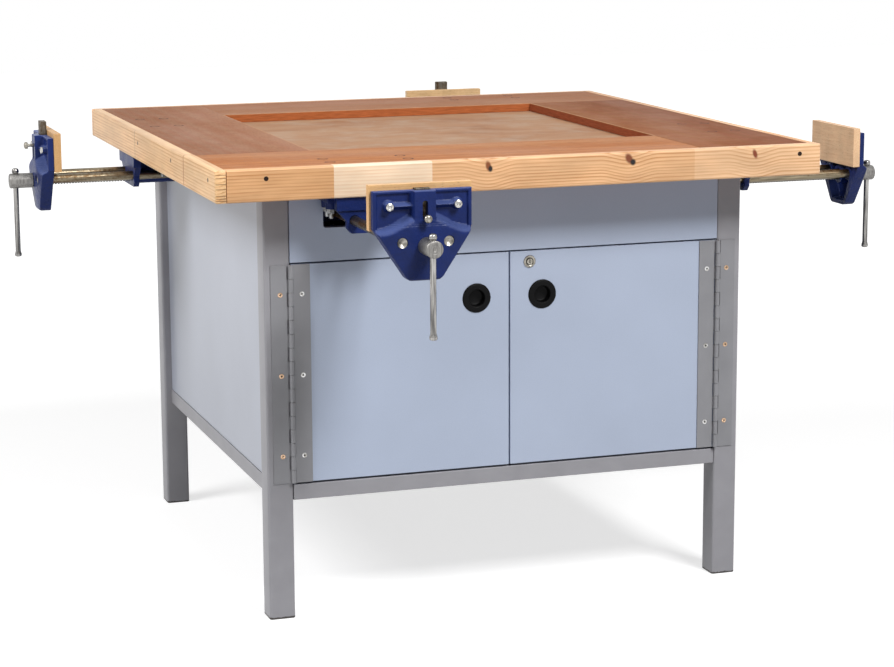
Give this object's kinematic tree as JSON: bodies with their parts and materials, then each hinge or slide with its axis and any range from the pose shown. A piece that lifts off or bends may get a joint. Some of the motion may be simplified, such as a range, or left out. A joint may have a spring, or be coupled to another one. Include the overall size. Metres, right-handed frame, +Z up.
{
  "type": "four-station woodworking bench with cabinet",
  "caption": "Square workshop bench with a tool well, a wood vice on each side that opens and closes by its screw, and a steel-framed cabinet with hinged doors.",
  "frame": {"origin": "on the floor, under the middle of the square bench top", "axes": "+Z up, the cabinet doors face -Y, +X to the right of a person facing the doors"},
  "size_m": [1.739, 1.817, 0.893],
  "materials": {
    "hardwood": "reddish hardwood, oiled and worn",
    "pine": "clear-lacquered finger-jointed pine",
    "well_board": "plain matt board",
    "beech": "clear-lacquered light hardwood",
    "frame_paint": "grey satin paint on steel tube and sheet",
    "laminate": "pale blue-grey melamine faced board",
    "vice_casting": "blue enamel paint over cast iron",
    "bright_steel": "turned bare steel",
    "rod_steel": "oily bare steel with brown stains",
    "dog_steel": "dark worn steel",
    "black_plastic": "black moulded plastic",
    "lock_chrome": "polished plating"
  },
  "bodies": {
    "bench": {"front_top_board": "hardwood", "right_top_board": "hardwood", "back_top_board": "hardwood", "left_top_board": "hardwood", "front_lipping": "pine", "right_lipping": "pine", "back_lipping": "pine", "left_lipping": "pine", "well_floor": "well_board", "front_left_leg": "frame_paint", "front_right_leg": "frame_paint", "back_left_leg": "frame_paint", "back_right_leg": "frame_paint", "front_rail": "frame_paint", "back_rail": "frame_paint", "cabinet_floor": "frame_paint", "fascia_panel": "laminate", "right_panel": "laminate", "back_panel": "laminate", "left_panel": "laminate", "left_hinge_frame_leaf": "frame_paint", "right_hinge_frame_leaf": "frame_paint", "left_hinge_pin": "bright_steel", "right_hinge_pin": "bright_steel", "front_vice_body": "vice_casting", "right_vice_body": "vice_casting", "back_vice_body": "vice_casting", "left_vice_body": "vice_casting"},
    "left_door": {"left_door": "laminate", "left_finger_pull": "black_plastic", "left_hinge_door_leaf": "frame_paint"},
    "right_door": {"right_door": "laminate", "right_finger_pull": "black_plastic", "right_hinge_door_leaf": "frame_paint", "lock_barrel": "lock_chrome"},
    "lock": {"lock_plug": "lock_chrome"},
    "front_jaw": {"front_vice_jaw": "vice_casting", "front_vice_cheek": "beech", "front_vice_guide_rods": "rod_steel"},
    "front_screw": {"front_vice_screw": "bright_steel"},
    "front_bar": {"front_vice_tommy_bar": "bright_steel"},
    "front_dog": {"front_vice_dog": "dog_steel"},
    "right_jaw": {"right_vice_jaw": "vice_casting", "right_vice_cheek": "beech", "right_vice_guide_rods": "rod_steel"},
    "right_screw": {"right_vice_screw": "bright_steel"},
    "right_bar": {"right_vice_tommy_bar": "bright_steel"},
    "right_dog": {"right_vice_dog": "dog_steel"},
    "back_jaw": {"back_vice_jaw": "vice_casting", "back_vice_cheek": "beech", "back_vice_guide_rods": "rod_steel"},
    "back_screw": {"back_vice_screw": "bright_steel"},
    "back_bar": {"back_vice_tommy_bar": "bright_steel"},
    "back_dog": {"back_vice_dog": "dog_steel"},
    "left_jaw": {"left_vice_jaw": "vice_casting", "left_vice_cheek": "beech", "left_vice_guide_rods": "rod_steel"},
    "left_screw": {"left_vice_screw": "bright_steel"},
    "left_bar": {"left_vice_tommy_bar": "bright_steel"},
    "left_dog": {"left_vice_dog": "dog_steel"}
  },
  "joints": [
    {"name": "left_door_swing", "type": "hinge", "parent": "bench", "child": "left_door", "pos_m": [-0.435, -0.49, 0.475], "axis": [0, 0, -1], "range_deg": [0, 175]},
    {"name": "right_door_swing", "type": "hinge", "parent": "bench", "child": "right_door", "pos_m": [0.435, -0.49, 0.475], "axis": [0, 0, 1], "range_deg": [0, 175]},
    {"name": "lock_turn", "type": "hinge", "parent": "right_door", "child": "lock", "pos_m": [0.041, -0.475, 0.6635], "axis": [0, -1, 0], "range_deg": [0, 90]},
    {"name": "front_jaw_slide", "type": "slide", "parent": "bench", "child": "front_jaw", "axis": [0, -1, 0], "range_m": [-0.234, 0.006]},
    {"name": "front_screw_turn", "type": "hinge", "parent": "front_jaw", "child": "front_screw", "pos_m": [-0.296, -0.9, 0.77], "axis": [0, -1, 0], "range_deg": [-14040, 360]},
    {"name": "front_bar_slide", "type": "slide", "parent": "front_screw", "child": "front_bar", "axis": [0, 0, 1], "range_m": [0, 0.13]},
    {"name": "front_dog_slide", "type": "slide", "parent": "front_jaw", "child": "front_dog", "axis": [0, 0, 1], "range_m": [0, 0.025]},
    {"name": "right_jaw_slide", "type": "slide", "parent": "bench", "child": "right_jaw", "axis": [1, 0, 0], "range_m": [-0.204, 0.036]},
    {"name": "right_screw_turn", "type": "hinge", "parent": "right_jaw", "child": "right_screw", "pos_m": [0.87, -0.252, 0.77], "axis": [1, 0, 0], "range_deg": [-12240, 2160]},
    {"name": "right_bar_slide", "type": "slide", "parent": "right_screw", "child": "right_bar", "axis": [0, 0, 1], "range_m": [0, 0.13]},
    {"name": "right_dog_slide", "type": "slide", "parent": "right_jaw", "child": "right_dog", "axis": [0, 0, 1], "range_m": [0, 0.025]},
    {"name": "back_jaw_slide", "type": "slide", "parent": "bench", "child": "back_jaw", "axis": [0, 1, 0], "range_m": [-0.192, 0.048]},
    {"name": "back_screw_turn", "type": "hinge", "parent": "back_jaw", "child": "back_screw", "pos_m": [0.296, 0.86, 0.77], "axis": [0, 1, 0], "range_deg": [-11520, 2880]},
    {"name": "back_bar_slide", "type": "slide", "parent": "back_screw", "child": "back_bar", "axis": [0, 0, 1], "range_m": [0, 0.13]},
    {"name": "back_dog_slide", "type": "slide", "parent": "back_jaw", "child": "back_dog", "axis": [0, 0, 1], "range_m": [-0.025, 0]},
    {"name": "left_jaw_slide", "type": "slide", "parent": "bench", "child": "left_jaw", "axis": [-1, 0, 0], "range_m": [-0.144, 0.096]},
    {"name": "left_screw_turn", "type": "hinge", "parent": "left_jaw", "child": "left_screw", "pos_m": [-0.81, 0.252, 0.77], "axis": [-1, 0, 0], "range_deg": [-8640, 5760]},
    {"name": "left_bar_slide", "type": "slide", "parent": "left_screw", "child": "left_bar", "axis": [0, 0, 1], "range_m": [0, 0.13]},
    {"name": "left_dog_slide", "type": "slide", "parent": "left_jaw", "child": "left_dog", "axis": [0, 0, 1], "range_m": [-0.025, 0]}
  ],
  "couplings": [
    {"joint": "front_jaw_slide", "follows": "front_screw_turn", "m_per_rad": 0.00095493},
    {"joint": "right_jaw_slide", "follows": "right_screw_turn", "m_per_rad": 0.00095493},
    {"joint": "back_jaw_slide", "follows": "back_screw_turn", "m_per_rad": 0.00095493},
    {"joint": "left_jaw_slide", "follows": "left_screw_turn", "m_per_rad": 0.00095493}
  ]
}
